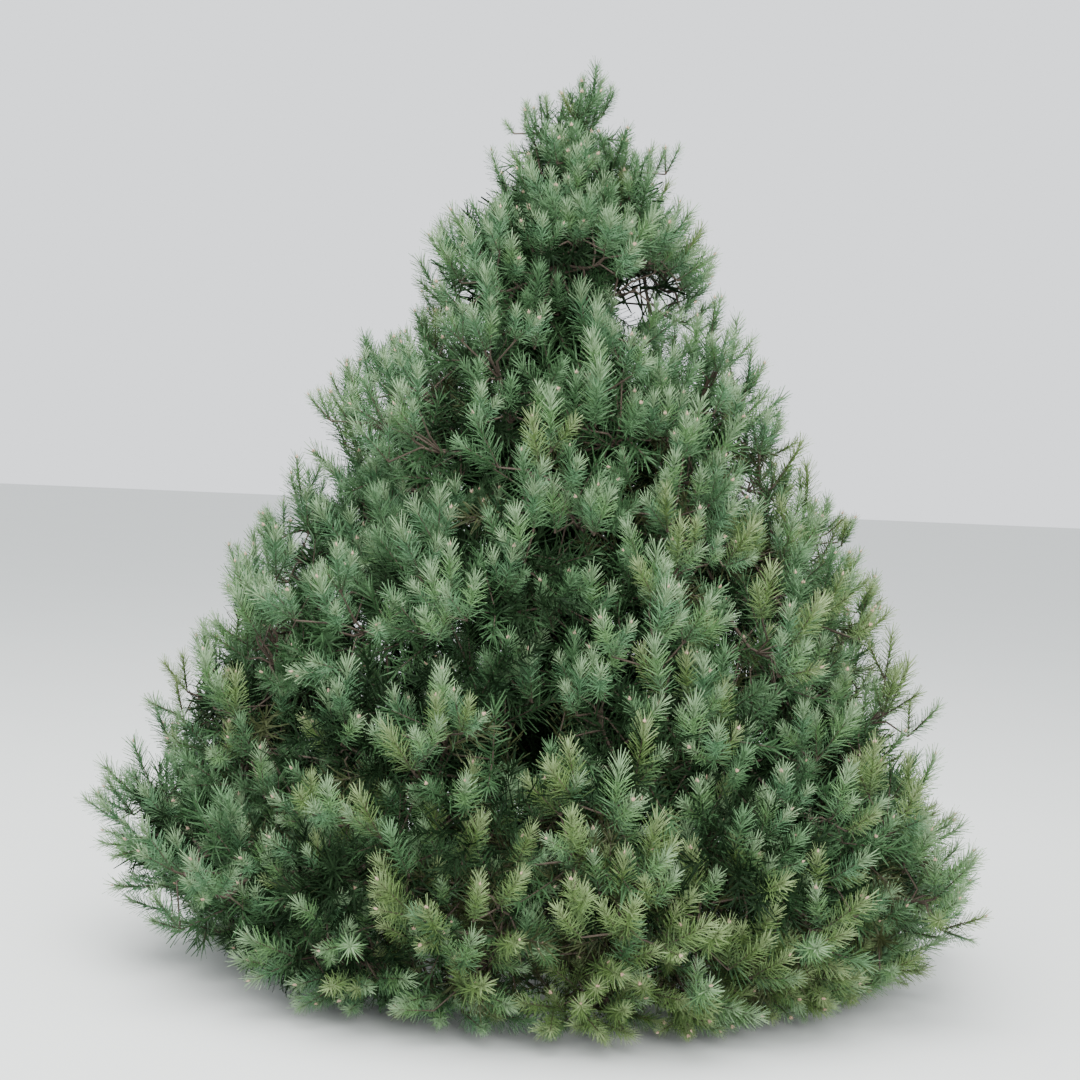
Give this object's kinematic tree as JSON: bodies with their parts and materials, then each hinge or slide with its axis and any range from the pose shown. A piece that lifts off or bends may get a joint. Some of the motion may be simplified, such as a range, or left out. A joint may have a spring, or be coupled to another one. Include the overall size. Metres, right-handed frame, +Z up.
{
  "type": "potted scots pine",
  "caption": "Young Scots pine grown as a dense cone of blue-green needle tufts that reach down to the ground, standing in a plain round nursery pot.",
  "frame": {"origin": "middle of the pot's flat underside, where the plant stands", "axes": "+Z up along the trunk; the picture looks along +Y, with +X to its right"},
  "size_m": [2.369, 2.3459, 2.42],
  "materials": {
    "pot_plastic": "matt moulded",
    "compost": "loose, fibrous",
    "bark": "rough, fissured",
    "needles": "waxy, slightly glossy"
  },
  "bodies": {
    "root": {"pot": "pot_plastic", "soil": "compost", "trunk": "bark", "bough_head_1": "bark", "bough_head_2": "bark", "bough_head_3": "bark", "bough_low_1": "bark", "bough_low_2": "bark", "bough_low_3": "bark", "bough_low_4": "bark", "bough_low_5": "bark", "bough_low_6": "bark", "bough_low_7": "bark", "bough_middle_1": "bark", "bough_middle_2": "bark", "bough_middle_3": "bark", "bough_middle_4": "bark", "bough_middle_5": "bark", "bough_skirt_1": "bark", "bough_skirt_2": "bark", "bough_skirt_3": "bark", "bough_skirt_4": "bark", "bough_skirt_5": "bark", "bough_skirt_6": "bark", "bough_skirt_7": "bark", "bough_skirt_8": "bark", "bough_upper_1": "bark", "bough_upper_2": "bark", "bough_upper_3": "bark", "bough_upper_4": "bark", "foliage_head_1": "needles", "foliage_head_2": "needles", "foliage_head_3": "needles", "foliage_leader": "needles", "foliage_low_1": "needles", "foliage_low_2": "needles", "foliage_low_3": "needles", "foliage_low_4": "needles", "foliage_low_5": "needles", "foliage_low_6": "needles", "foliage_low_7": "needles", "foliage_middle_1": "needles", "foliage_middle_2": "needles", "foliage_middle_3": "needles", "foliage_middle_4": "needles", "foliage_middle_5": "needles", "foliage_skirt_1": "needles", "foliage_skirt_2": "needles", "foliage_skirt_3": "needles", "foliage_skirt_4": "needles", "foliage_skirt_5": "needles", "foliage_skirt_6": "needles", "foliage_skirt_7": "needles", "foliage_skirt_8": "needles", "foliage_upper_1": "needles", "foliage_upper_2": "needles", "foliage_upper_3": "needles", "foliage_upper_4": "needles"}
  },
  "joints": []
}
